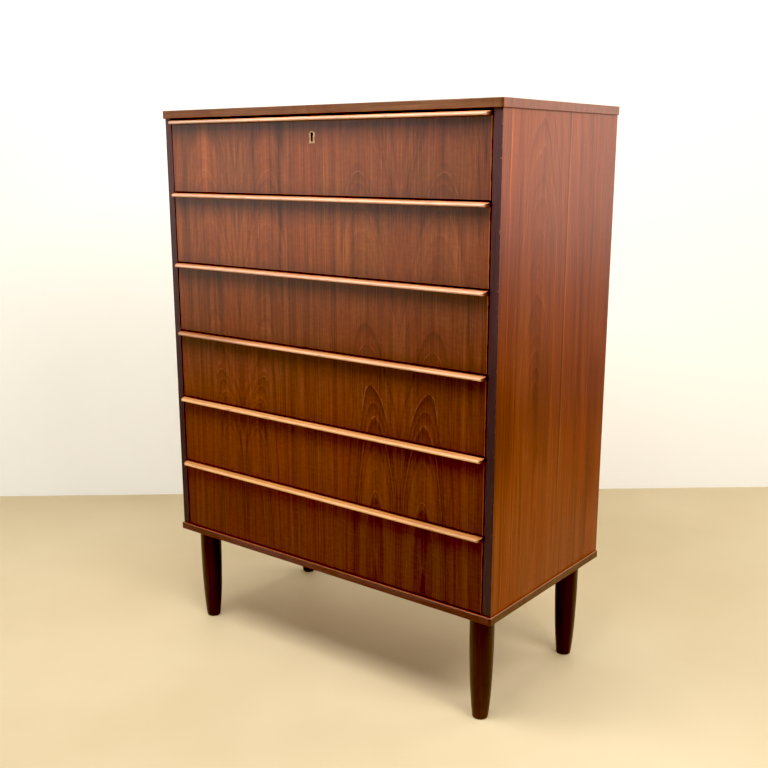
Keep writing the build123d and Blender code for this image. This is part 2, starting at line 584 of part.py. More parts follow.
# ------------------------------------------------------------ lock
with BuildPart() as keyhole_escutcheon:
    with BuildSketch(Plane.XZ.offset(-(Y_F + 2.4))):
        with Locations((LOCK_X, KEY_Z - 2.3)):
            Circle(7.3)
        with BuildLine():
            Polyline(
                (LOCK_X - 5.8, KEY_Z - 5.0), (LOCK_X - 7.3, KEY_Z - 16.6),
                (LOCK_X + 7.3, KEY_Z - 16.6), (LOCK_X + 5.8, KEY_Z - 5.0), close=True,
            )
        make_face()
    extrude(amount=2.8)
    with BuildSketch(Plane.XZ.offset(-(Y_F + 2.4))):
        with Locations((LOCK_X, KEY_Z)):
            Circle(KEY_R)
        with Locations((LOCK_X, KEY_Z - 6.8)):
            Rectangle(KEY_W, 13.6)
    extrude(amount=2.8, mode=Mode.SUBTRACT)
    chamfer(keyhole_escutcheon.faces().sort_by(Axis.Y)[0].outer_wire().edges(), length=0.35)
keyhole_escutcheon.part.label = "keyhole_escutcheon"
export_step(keyhole_escutcheon.part, "parts/keyhole_escutcheon.step")

with BuildPart() as lock_case:
    with BuildSketch(Plane.XZ.offset(-Y_FB)):
        with Locations((LOCK_X, LOCK_TOP - LOCK_H / 2)):
            Rectangle(2 * LOCK_HALF, LOCK_H)
    extrude(amount=LOCK_D)
    with BuildSketch(Plane.XZ.offset(-Y_FB)):
        with Locations((LOCK_X, LOCK_TOP - LOCK_H + 18.0)):
            Rectangle(2 * LOCK_HALF + 14, 36.0)
    extrude(amount=1.5)
    # inside of the case
    with BuildSketch(Plane.XZ.offset(-(Y_FB - 1.5))):
        with Locations((LOCK_X, LOCK_TOP - LOCK_H / 2)):
            Rectangle(2 * LOCK_HALF - 3, LOCK_H - 3)
    extrude(amount=LOCK_D - 3, mode=Mode.SUBTRACT)
    # slot for the bolt, keyhole, screw holes
    with BuildSketch(Plane.XY.offset(LOCK_TOP - 3)):
        with Locations((LOCK_X, BOLT_Y)):
            Rectangle(2 * BOLT_HALF + 0.4, BOLT_T + 0.4)
    extrude(amount=4, mode=Mode.SUBTRACT)
    with BuildSketch(Plane.XZ.offset(-(Y_FB - LOCK_D))):
        with Locations((LOCK_X, KEY_Z)):
            Circle(KEY_R)
        with Locations((LOCK_X, KEY_Z - 6.8)):
            Rectangle(KEY_W, 13.6)
    extrude(amount=-1.6, mode=Mode.SUBTRACT)
    with BuildSketch(Plane.XZ.offset(-Y_FB)):
        with Locations(*[(LOCK_X + s * 29.5, z) for s in (-1, 1) for z in (1038.0, 1060.0)]):
            Circle(1.2)
    extrude(amount=1.5, mode=Mode.SUBTRACT)
lock_case.part.label = "lock_case"
export_step(lock_case.part, "parts/lock_case.step")

with BuildPart() as lock_bolt:
    with BuildSketch(Plane.XZ.offset(-(BOLT_Y + BOLT_T / 2))):
        with Locations((LOCK_X, LOCK_TOP - 0.2 - 17.0)):
            Rectangle(2 * BOLT_HALF, 34.0)
        # notch that the key's bit works in
        with Locations((LOCK_X, LOCK_TOP - 0.2 - 34.0)):
            Circle(4.5, mode=Mode.SUBTRACT)
    extrude(amount=BOLT_T)
lock_bolt.part.label = "lock_bolt"
export_step(lock_bolt.part, "parts/lock_bolt.step")

with BuildPart() as lock_screws:
    with BuildSketch(Plane.XZ.offset(-Y_FB)):
        with Locations(*[(LOCK_X + s * 29.5, z) for s in (-1, 1) for z in (1038.0, 1060.0)]):
            Circle(1.2)
    extrude(amount=11.0)
    with BuildSketch(Plane.XZ.offset(-Y_FB)):
        with Locations(*[(LOCK_X + s * 29.5, z) for s in (-1, 1) for z in (1038.0, 1060.0)]):
            Circle(2.4)
    extrude(amount=-0.8, taper=30)
lock_screws.part.label = "lock_screws"
export_step(lock_screws.part, "parts/lock_screws.step")
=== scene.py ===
import bpy
import math
from mathutils import Matrix, Vector

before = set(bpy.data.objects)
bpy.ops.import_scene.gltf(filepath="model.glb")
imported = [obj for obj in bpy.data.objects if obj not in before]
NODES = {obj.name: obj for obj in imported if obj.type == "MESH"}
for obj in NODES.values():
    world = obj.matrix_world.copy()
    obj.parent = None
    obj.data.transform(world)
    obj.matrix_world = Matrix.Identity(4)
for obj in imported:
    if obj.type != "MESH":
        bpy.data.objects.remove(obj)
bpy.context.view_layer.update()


# ------------------------------------------------------------ small helpers
def lin(r, g, b):
    """A colour given as 0-255 display values, as linear light."""
    out = []
    for c in (r, g, b):
        c = c / 255.0
        out.append(c / 12.92 if c <= 0.04045 else ((c + 0.055) / 1.055) ** 2.4)
    return (out[0], out[1], out[2], 1.0)


class E:
    """A value in a node graph, with arithmetic."""

    def __init__(self, g, s):
        self.g, self.s = g, s

    def __add__(self, o):
        return self.g.math("ADD", self, o)

    __radd__ = __add__

    def __mul__(self, o):
        return self.g.math("MULTIPLY", self, o)

    __rmul__ = __mul__

    def __sub__(self, o):
        return self.g.math("SUBTRACT", self, o)

    def __rsub__(self, o):
        return self.g.math("SUBTRACT", o, self)

    def __truediv__(self, o):
        return self.g.math("DIVIDE", self, o)

    def abs(self):
        return self.g.math("ABSOLUTE", self)

    def sqrt(self):
        return self.g.math("SQRT", self)

    def fract(self):
        return self.g.math("FRACT", self)

    def floor(self):
        return self.g.math("FLOOR", self)

    def max(self, o):
        return self.g.math("MAXIMUM", self, o)

    def min(self, o):
        return self.g.math("MINIMUM", self, o)

    def gt(self, o):
        return self.g.math("GREATER_THAN", self, o)

    def lt(self, o):
        return self.g.math("LESS_THAN", self, o)

    def clamp(self):
        return self.g.math("ADD", self, 0.0, clamp=True)

    def smooth(self, a, b):
        """0 below a, 1 above b (or the other way round when a > b)."""
        n = self.g.node("ShaderNodeMapRange")
        n.interpolation_type = "SMOOTHSTEP"
        self.g.put(n.inputs[0], self)
        if a < b:
            n.inputs[1].default_value, n.inputs[2].default_value = a, b
            n.inputs[3].default_value, n.inputs[4].default_value = 0.0, 1.0
        else:
            n.inputs[1].default_value, n.inputs[2].default_value = b, a
            n.inputs[3].default_value, n.inputs[4].default_value = 1.0, 0.0
        return E(self.g, n.outputs[0])


class G:
    """One material's node graph, with a Principled shader."""

    def __init__(self, name):
        self.m = bpy.data.materials.new(name)
        self.m.use_nodes = True
        self.t = self.m.node_tree
        self.t.nodes.clear()
        self.out = self.node("ShaderNodeOutputMaterial")
        self.bsdf = self.node("ShaderNodeBsdfPrincipled")
        self.t.links.new(self.bsdf.outputs[0], self.out.inputs[0])
        tc = self.node("ShaderNodeTexCoord")
        k = self.node("ShaderNodeVectorMath")
        k.operation = "SCALE"
        k.inputs["Scale"].default_value = 1000.0
        self.t.links.new(tc.outputs["Object"], k.inputs[0])
        sp = self.node("ShaderNodeSeparateXYZ")
        self.t.links.new(k.outputs[0], sp.inputs[0])
        self.X, self.Y, self.Z = (E(self, sp.outputs[i]) for i in range(3))

    def node(self, kind):
        return self.t.nodes.new(kind)

    def put(self, socket, v):
        if isinstance(v, E):
            self.t.links.new(v.s, socket)
        elif isinstance(v, (tuple, list)) and len(v) == 3 and socket.type == "RGBA":
            socket.default_value = (*v, 1.0)
        else:
            socket.default_value = v

    def math(self, op, a, b=None, clamp=False):
        n = self.node("ShaderNodeMath")
        n.operation = op
        n.use_clamp = clamp
        self.put(n.inputs[0], a)
        if b is not None:
            self.put(n.inputs[1], b)
        return E(self, n.outputs[0])

    def vec(self, x, y, z):
        n = self.node("ShaderNodeCombineXYZ")
        for i, v in enumerate((x, y, z)):
            self.put(n.inputs[i], v)
        return E(self, n.outputs[0])

    def noise(self, x, y, z=0.0, detail=2.0, rough=0.5, dist=0.0):
        n = self.node("ShaderNodeTexNoise")
        n.noise_dimensions = "3D"
        self.put(n.inputs["Vector"], self.vec(x, y, z))
        n.inputs["Scale"].default_value = 1.0
        n.inputs["Detail"].default_value = detail
        n.inputs["Roughness"].default_value = rough
        n.inputs["Distortion"].default_value = dist
        return E(self, n.outputs[0])

    def noise1(self, w, detail=1.0, rough=0.5):
        n = self.node("ShaderNodeTexNoise")
        n.noise_dimensions = "1D"
        self.put(n.inputs["W"], w)
        n.inputs["Scale"].default_value = 1.0
        n.inputs["Detail"].default_value = detail
        n.inputs["Roughness"].default_value = rough
        return E(self, n.outputs[0])

    def rnd(self, w):
        n = self.node("ShaderNodeTexWhiteNoise")
        n.noise_dimensions = "1D"
        self.put(n.inputs["W"], w)
        return E(self, n.outputs[0])

    def cells(self, x, y, z, feature="F1"):
        n = self.node("ShaderNodeTexVoronoi")
        n.feature = feature
        self.put(n.inputs["Vector"], self.vec(x, y, z))
        n.inputs["Scale"].default_value = 1.0
        return E(self, n.outputs["Distance"])

    def ramp(self, f, stops, interp="LINEAR"):
        n = self.node("ShaderNodeValToRGB")
        n.color_ramp.interpolation = interp
        el = n.color_ramp.elements
        while len(el) > 1:
            el.remove(el[-1])
        el[0].position, el[0].color = stops[0]
        for p, c in stops[1:]:
            e = el.new(p)
            e.color = c
        self.put(n.inputs[0], f)
        return E(self, n.outputs[0])

    def mix(self, f, a, b, mode="MIX"):
        n = self.node("ShaderNodeMix")
        n.data_type = "RGBA"
        n.blend_type = mode
        n.clamp_factor = True
        self.put(n.inputs[0], f)
        self.put(n.inputs[6], a)
        self.put(n.inputs[7], b)
        return E(self, n.outputs[2])

    def sel(self, f, a, b):
        """a where f is 0, b where f is 1, for plain values."""
        return self.math("ADD", self.math("MULTIPLY", f, (b - a) if isinstance(b, E) or isinstance(a, E) else b - a), a)

    def curve(self, x, pts):
        """A value read off a smooth curve through the points."""
        xs, ys = [p[0] for p in pts], [p[1] for p in pts]
        x0, x1, y0, y1 = min(xs), max(xs), min(ys), max(ys)
        y1 = y1 if y1 > y0 else y0 + 1.0
        n = self.node("ShaderNodeFloatCurve")
        self.put(n.inputs["Value"], (x - x0) / (x1 - x0))
        c = n.mapping.curves[0]
        c.points[0].location = (0.0, (ys[0] - y0) / (y1 - y0))
        c.points[-1].location = (1.0, (ys[-1] - y0) / (y1 - y0))
        for px, py in pts[1:-1]:
            c.points.new((px - x0) / (x1 - x0), (py - y0) / (y1 - y0))
        n.mapping.update()
        return E(self, n.outputs[0]) * (y1 - y0) + y0

    def band(self, x, centre, half):
        """1 at centre, fading to 0 at half to each side."""
        return (x - centre).abs().smooth(half, 0.0)

    def finish(self, colour, rough, bump=None, strength=0.2, distance=0.0002, **sockets):
        self.put(self.bsdf.inputs["Base Color"], colour)
        self.put(self.bsdf.inputs["Roughness"], rough)
        for k, v in sockets.items():
            self.bsdf.inputs[k.replace("_", " ")].default_value = v
        if bump is not None:
            b = self.node("ShaderNodeBump")
            b.inputs["Strength"].default_value = strength
            b.inputs["Distance"].default_value = distance
            self.put(b.inputs["Height"], bump)
            self.t.links.new(b.outputs[0], self.bsdf.inputs["Normal"])
        return self.m


# ------------------------------------------------------------ materials
DARK, DEEP = lin(58, 24, 12), lin(88, 37, 18)
MIDC, WARM = lin(124, 58, 28), lin(150, 76, 38)
PALE, GOLD = lin(182, 104, 58), lin(212, 148, 92)


def ring_tone(g, r, key, period=4.6):
    """Growth rings by radius: each darkens outwards and ends at a thin pale line."""
    ph = (r + (g.noise1(r / 17.0 + key) - 0.5) * 9.0) / period
    f = ph.fract()
    amp = g.rnd(ph.floor() + key)
    dark = f.smooth(0.3, 1.0) * f.smooth(1.0, 0.97)
    line = f.smooth(0.3, 0.0) * f.smooth(0.0, 0.03)
    return dark, line, amp


def fibres(g, u, v, w, key):
    """Streaks along the grain, coarse, medium and fine, each around 0."""
    a = g.noise(u / 16.0, v / 620.0, w / 60.0 + key, 2.0, 0.55) - 0.5
    b = g.noise(u / 3.6, v / 230.0, w / 20.0 + key + 7.3, 2.0, 0.6) - 0.5
    c = g.noise(u / 0.9, v / 75.0, w / 6.0 + key + 3.1, 2.0, 0.6) - 0.5
    return a, b, c


def pores(g, u, v, w, key):
    """Short dark dashes along the grain."""
    p = g.noise(u / 0.55, v / 11.0, w / 2.0 + key, 1.0, 0.5)
    return p.smooth(0.60, 0.74)


def arch_lines(g, r, q, d, z, rings, key):
    """Strong rings: a thin pale line, and inside it a darker band that fades inwards."""
    steep = ((q * q + d * d * 0.0144).sqrt() / r).max(0.06)
    gold = dark = None
    for radius, strength in rings:
        e = r - radius
        a = (e / steep).abs().smooth(1.5, 0.2) * strength
        b = e.smooth(-3.4, -0.3) * e.smooth(0.0, -0.12) * strength
        gold = a if gold is None else gold.max(a)
        dark = b if dark is None else dark.max(b)
    fade = (q.smooth(46.0, 8.0) * 0.85 + 0.15) * (z.smooth(310.0, 400.0) * 0.85 + 0.15)
    broken = g.noise(q / 9.0, z / 30.0, key, 1.0, 0.5).smooth(0.28, 0.6)
    return gold * fade * broken, dark * fade


def front_veneer():
    g = G("teak_front_veneer")
    X, Y, Z = g.X, g.Y, g.Z
    in_l, in_r = X.lt(-70.0), X.gt(62.0)
    s_l, s_r = (X + 201.0).abs(), (X - 195.5).abs()
    c_l = g.curve(Z, [(220, 40), (420, 38), (478, 41), (529, 48), (584, 60), (700, 70), (850, 80), (985, 88), (1080, 90)])
    c_r = g.curve(Z, [(220, 56), (403, 54.5), (545, 56), (603, 64.5), (677, 73), (850, 84), (985, 91), (1080, 93)])
    d_l = g.curve(Z, [(220, 33), (420, 40), (478, 46), (529, 54), (584, 62), (700, 76), (850, 93), (985, 108), (1080, 120)])
    d_r = g.curve(Z, [(220, 31), (330, 33.5), (403, 39), (545, 56), (603, 63), (677, 72), (850, 93), (983, 108.5), (1080, 120)])
    key = in_r * 31.0 + in_l * 57.0
    s = in_l * s_l + in_r * s_r + (1.0 - in_l - in_r) * (X + 200.0)
    wob = (g.noise(s / 48.0, Z / 120.0, key, 1.0) - 0.5) * 9.0 + (g.noise(s / 13.0, Z / 38.0, key + 5.0, 1.0) - 0.5) * 3.0
    leaf = (g.noise(X / 200.0, Z / 260.0, 8.0, 1.0) - 0.5) * 14.0
    q_l, q_r, q_c = (s_l + wob + leaf - c_l).abs(), (s_r + wob + leaf * 0.6 - c_r).abs(), (X + 9.0 + wob).abs() * 0.92
    r_l = (q_l * q_l + d_l * d_l).sqrt()
    r_r = (q_r * q_r + d_r * d_r).sqrt()
    r_c = q_c + 24.0
    r = in_l * r_l + in_r * r_r + (1.0 - in_l - in_r) * r_c
    dark, line, amp = ring_tone(g, r, 3.0)
    gl, dl = arch_lines(g, r_l, q_l, d_l, Z, [(107.5, 0.45), (62.0, 0.8), (54.0, 0.7), (46.0, 0.5)], 2.0)
    gr, dr = arch_lines(g, r_r, q_r, d_r, Z, [(108.3, 0.8), (72.0, 0.7), (63.0, 1.0), (56.0, 0.9), (39.0, 0.6)], 9.0)
    gold, deep = gl * in_l + gr * in_r, dl * in_l + dr * in_r
    fa, fb, fc = fibres(g, s, Z, Y, key)
    broad = g.noise1(r / 13.0 + key, 1.0) - 0.5
    along = g.noise(s / 5.0, Z / 48.0, key + 1.0, 1.0).smooth(0.35, 0.75)
    silk = g.noise(s / 15.0, Z / 5.5, key + 2.0, 1.0) - 0.5
    calm = Z.smooth(330.0, 760.0) * 0.35 + 0.65
    t = 0.50 + broad * 0.28 + (fa * 0.46 + fb * 0.62 + fc * 0.50) * calm + silk * 0.18
    t = t - dark * amp * 0.14 + line * along * (amp * 0.28) - deep * 0.12
    # dark streaks and paler flames that stay put on particular leaves
    for x0, wid, z0, z1, k in (
        (-84, 12, 870, 1100, -0.26), (-152, 8, 930, 1100, -0.14), (-88, 6, 795, 852, -0.30),
        (90, 10, 795, 925, -0.20), (276, 7, 795, 930, -0.20), (281, 9, 990, 1100, -0.14),
        (-290, 27, 930, 1100, 0.22), (-257, 10, 930, 1030, 0.14), (-65, 9, 930, 1100, 0.13),
        (-384, 26, 930, 1100, -0.08), (-350, 22, 795, 930, -0.12), (97, 14, 224, 369, -0.10),
        (252, 12, 224, 369, -0.12), (-250, 16, 640, 795, -0.10), (150, 30, 930, 1100, 0.06),
    ):
        zr = Z.smooth(z0 - 18.0, z0 + 18.0) * Z.smooth(z1 + 18.0, z1 - 18.0)
        t = t + g.band(X + (g.noise(X / 60.0, Z / 90.0, 4.0, 1.0) - 0.5) * 14.0, x0, wid) * zr * k
    t = t.clamp()
    col = g.ramp(t, [(0.0, DARK), (0.22, DEEP), (0.5, MIDC), (0.74, WARM), (1.0, PALE)])
    # each drawer's veneer has its own depth of colour, and painted shade makes it darker towards the floor; darker
    # towards the right as well
    drawer_tone_and_painted_shade = g.ramp((Z - 222.0) / 858.0, [
        (0.085, (0.66, 1.02, 1.20, 1)), (0.247, (0.79, 1.03, 1.28, 1)), (0.413, (0.74, 0.91, 1.25, 1)),
        (0.578, (0.77, 0.89, 1.05, 1)), (0.744, (0.98, 1.16, 1.06, 1)), (0.907, (0.88, 1.02, 1.02, 1)),
    ])
    col = g.mix(1.0, col, drawer_tone_and_painted_shade, "MULTIPLY")
    col = g.mix(X.smooth(-60.0, 400.0) * 0.85, col, g.mix(1.0, col, (0.78, 0.82, 1.15), "MULTIPLY"))
    col = g.mix(X.smooth(0.0, 300.0) * Z.smooth(480.0, 300.0), col, g.mix(1.0, col, (1.0, 1.10, 1.0), "MULTIPLY"))
    # painted shadow beneath each lip, strongest on the upper drawers
    painted_lip_shadow = g.band(Z, 1063.0, 48.0)
    for zt in (921.0, 779.0, 637.0, 495.0):
        painted_lip_shadow = painted_lip_shadow + g.band(Z, zt, 48.0)
    col = g.mix(painted_lip_shadow * Z.smooth(330.0, 640.0) * 0.40, col, g.mix(1.0, col, (0.0, 0.0, 0.0), "MULTIPLY"))
    # slow changes of hue, ruddier or more golden
    hue = g.noise(s / 55.0, Z / 260.0, key + 11.0, 1.0).smooth(0.30, 0.70)
    col = g.mix(hue * 0.5, col, g.mix(1.0, col, (1.12, 0.86, 0.72), "MULTIPLY"))
    olive = g.noise(X / 75.0, Z / 130.0, 33.0, 1.0).smooth(0.42, 0.68)
    col = g.mix(olive * (Z.smooth(480.0, 780.0) * 0.4 + 0.2), col, g.mix(1.0, col, (0.97, 1.08, 0.80), "MULTIPLY"))
    # fine pale streaks, most of them on the right half
    fine = g.noise(s / 1.2, Z / 120.0, key + 21.0, 1.0, 0.6).smooth(0.60, 0.78)
    fine = fine * (X.smooth(-180.0, 60.0) * 0.6 + 0.4) * (Z.smooth(250.0, 800.0) * 0.7 + 0.3)
    col = g.mix((fine * 0.50).max(gold * 0.95), col, g.mix(1.0, col, (2.1, 2.7, 3.2), "MULTIPLY"))
    # worn arris at the two ends of each front
    worn = X.abs().smooth(375.9, 377.0) * (g.noise(Z / 22.0, X / 400.0, 3.0, 2.0).smooth(0.30, 0.60) * 0.7 + 0.3)
    col = g.mix(worn * 0.55, col, lin(190, 124, 92))
    po = pores(g, s, Z, Y, key)
    col = g.mix(po * 0.34, col, DARK)
    rough = 0.34 + fb * 0.10 + silk * 0.08 + po * 0.15
    h = fc * 0.5 + fb * 0.6 - po * 0.9 + gold * 0.3
    # the lacquer is duller on the lower drawers
    g.put(g.bsdf.inputs["Specular IOR Level"], Z.smooth(200.0, 950.0) * 0.58 + 0.22)
    return g.finish(col, rough, h, 0.2, 0.00022)


def case_veneer(name, face):
    """Teak veneer on the carcass. face: side, or level for the top and bottom."""
    g = G(name)
    X, Y, Z = g.X, g.Y, g.Z
    if face == "side":
        side = X.gt(0.0)
        u = Y + 200.5
        # the left side is the next sheets of the same log, turned end for end
        v = g.sel(side, 1300.0 - Z, Z)
        w = X / 40.0
    else:
        u, v, w = Y + 200.5, X + 800.0, Z / 30.0
    key = 3.7 if face == "side" else 12.9
    wob = (g.noise(u / 60.0, v / 210.0, w + key, 1.0) - 0.5) * 12.0 + (g.noise(u / 10.0, v / 70.0, w + key + 5.0, 1.0) - 0.5) * 2.4
    if face == "side":
        c = g.curve(v, [(200, 138), (480, 146), (620, 130), (800, 133), (1100, 128)])
        d = g.curve(v, [(200, 14), (430, 16), (560, 26), (700, 46), (800, 62), (1100, 96)])
        q = (u - c).abs()
        r = (q * q * 0.9 + d * d).sqrt() + wob
    else:
        c = g.curve(v, [(400, 205), (700, 230), (950, 190), (1200, 215)])
        d = g.curve(v, [(400, 22), (620, 40), (800, 52), (1000, 66), (1200, 84)])
        q = (u - c).abs()
        r = (q * q * 0.55 + d * d).sqrt() + wob
    dark, line, amp = ring_tone(g, r, key, 5.2)
    fa, fb, fc = fibres(g, u, v, w * 40.0, key)
    broad = g.noise1(r / 15.0 + key, 1.0) - 0.5
    along = g.noise(u / 5.0, v / 60.0, key + 1.0, 1.0).smooth(0.35, 0.75)
    t = 0.56 + broad * 0.20 + fa * 0.40 + fb * 0.52 + fc * 0.50 - dark * amp * 0.12 + line * along * (amp * 0.20)
    if face == "side":
        wu = u + (g.noise(v / 170.0, 0.0, key, 1.0) - 0.5) * 7.0
        for y0, wid, z0, z1, k in (
            (30, 1.6, 200, 1100, -0.22), (34.5, 1.8, 200, 1100, 0.24), (61, 1.6, 300, 1000, 0.22), (66, 1.4, 200, 1100, -0.20),
            (194, 1.6, 450, 900, 0.20), (160, 2.0, 400, 900, -0.16),
            (228, 2.0, 380, 1100, -0.36), (232.5, 2.2, 380, 1100, 0.28), (328, 1.6, 200, 1100, -0.22), (333, 2.2, 500, 1100, 0.24),
            (158, 46, 470, 720, -0.12), (128, 30, 560, 800, -0.10), (366, 36, 330, 640, -0.18),
            (300, 16, 200, 1100, -0.07), (200, 20, 200, 470, 0.08), (30, 60, 480, 620, -0.12),
            (200, 420, 520, 640, -0.06),
        ):
            zr = v.smooth(z0 - 45.0, z0 + 45.0) * v.smooth(z1 + 45.0, z1 - 45.0)
            t = t + g.band(wu, y0, wid) * zr * k
    t = t.clamp()
    col = g.ramp(t, [(0.0, DARK), (0.2, DEEP), (0.48, MIDC), (0.76, WARM), (1.0, PALE)])
    hue = g.noise(u / 70.0, v / 300.0, key + 11.0, 1.0).smooth(0.35, 0.70)
    col = g.mix(hue * 0.6, col, g.mix(1.0, col, (1.04, 0.84, 0.66), "MULTIPLY"))
    if face == "side":
        # painted light and shade by height: lighter and paler at the top, darker through the middle
        painted_height_shading = g.ramp((Z - 222.0) / 858.0, [
            (0.0, (0.97, 1.08, 1.20, 1)), (0.20, (0.92, 0.98, 0.86, 1)), (0.36, (0.84, 0.80, 0.66, 1)),
            (0.50, (0.84, 0.82, 0.70, 1)), (0.62, (0.86, 0.83, 0.68, 1)), (0.74, (0.90, 0.88, 0.78, 1)),
            (0.86, (1.03, 1.04, 0.93, 1)), (1.0, (1.14, 1.19, 1.02, 1)),
        ])
        col = g.mix(1.0, col, painted_height_shading, "MULTIPLY")
        fore = Y.smooth(-90.0, -200.0) * Z.smooth(370.0, 490.0) * Z.smooth(980.0, 820.0)
        col = g.mix(fore, col, g.mix(1.0, col, (0.79, 0.72, 0.72), "MULTIPLY"))
        aft = Y.smooth(-40.0, 170.0) * Z.smooth(270.0, 420.0) * Z.smooth(1000.0, 800.0)
        col = g.mix(aft, col, g.mix(1.0, col, (0.97, 0.79, 0.42), "MULTIPLY"))
    if face == "level":
        # solid edge lippings, stained darker on the bottom panel
        low = Z.lt(400.0)
        col = g.mix(1.0, col, (0.94, 1.08, 0.98), "MULTIPLY")
        fr = Y.lt(-199.4)
        en = X.abs().gt(398.9)
        col = g.mix(fr * (1.0 - low), col, g.mix(1.0, col, (0.63, 1.03, 2.0), "MULTIPLY"))
        col = g.mix(fr * low, col, g.mix(1.0, col, (0.51, 0.70, 2.6), "MULTIPLY"))
        col = g.mix(en * low * (1.0 - fr), col, g.mix(1.0, col, (0.46, 0.62, 0.7), "MULTIPLY"))
        # painted highlight along the top arris of the bottom panel's lippings
        painted_arris_highlight = low * Z.smooth(220.8, 221.6) * Y.lt(-199.4).max(X.abs().gt(398.0))
        col = g.mix(painted_arris_highlight * 0.45, col, lin(186, 128, 96))
        tip = X.abs().gt(394.8) * fr
        col = g.mix(tip * 0.45, col, DARK)
    po = pores(g, u, v, w * 40.0, key)
    col = g.mix(po * 0.30, col, DARK)
    silk = g.noise(u / 9.0, v / 7.0, key + 2.0, 1.0) - 0.5
    rough = 0.36 + fb * 0.08 + silk * 0.06 + po * 0.14
    h = fc * 0.5 + fb * 0.5 - po * 0.9
    return g.finish(col, rough, h, 0.2, 0.00025, Specular_IOR_Level=0.28 if face == "side" else 0.4)


def plain_wood(name, u, v, w, stops, size=1.0, rough=0.5, contrast=1.0, key=0.0, fleck=0.0, spec=0.5, bump=0.2, wear_and_painted_light=None):
    """Solid timber. u and w run across the grain and v along it, as axis letters."""
    g = G(name)
    ax = {"X": g.X, "Y": g.Y, "Z": g.Z}
    U, V, W = ax[u], ax[v], ax[w]
    wob = (g.noise(U / (22.0 * size), V / (170.0 * size), W / (22.0 * size) + key, 2.0) - 0.5) * 16.0
    r = ((U + 60.0 + wob) * (U + 60.0 + wob) + (W + 35.0) * (W + 35.0) * 0.8).sqrt()
    dark, line, amp = ring_tone(g, r, key, 4.0 * size)
    a = g.noise(U / (12.0 * size), V / (420.0 * size), W / (12.0 * size) + key, 2.0, 0.55) - 0.5
    b = g.noise(U / (2.6 * size), V / (150.0 * size), W / (2.6 * size) + key + 2.0, 2.0, 0.6) - 0.5
    c = g.noise(U / (0.8 * size), V / (40.0 * size), W / (0.8 * size) + key + 4.0, 2.0, 0.6) - 0.5
    t = 0.5 + (a * 0.5 + b * 0.4 + c * 0.35 - dark * amp * 0.28) * contrast
    if fleck:
        f = g.noise(U / (0.7 * size), V / (2.6 * size), W / (0.7 * size) + key, 1.0).smooth(0.60, 0.72)
        t = t - f * fleck
    t = t.clamp()
    col = g.ramp(t, stops)
    if wear_and_painted_light is not None:
        col = wear_and_painted_light(g, col, U, V, W)
    ro = rough + b * 0.12 + c * 0.10
    return g.finish(col, ro, c + b * 0.6, bump, 0.0002, Specular_IOR_Level=spec)


def edging_material():
    def wear_and_painted_light(g, col, U, V, W):
        # painted light and shade by height: lighter and pinker higher up, darker lower down
        col = g.mix(1.0, col, g.ramp(g.Z.smooth(400.0, 1050.0), [(0.0, (0.74, 0.75, 1.15, 1)), (1.0, (1.42, 1.22, 1.28, 1))]), "MULTIPLY")
        low = g.X.lt(0.0) * g.Z.smooth(720.0, 400.0)
        col = g.mix(low, col, g.mix(1.0, col, (0.85, 0.55, 0.60), "MULTIPLY"))
        # rubbed and chipped along the outer corner
        out = g.X.abs().smooth(392.5, 396.8)
        m = g.noise(g.X / 1.6, g.Z / 7.0, g.Y / 1.6, 2.0, 0.6).smooth(0.62, 0.72) * out
        return g.mix(m * 0.75, col, lin(176, 116, 84))

    return plain_wood(
        "dark_edging", "X", "Z", "Y",
        [(0.0, lin(34, 21, 21)), (0.5, lin(60, 40, 42)), (1.0, lin(92, 60, 58))],
        size=0.8, rough=0.42, spec=0.6, contrast=1.0, key=21.0, wear_and_painted_light=wear_and_painted_light,
    )


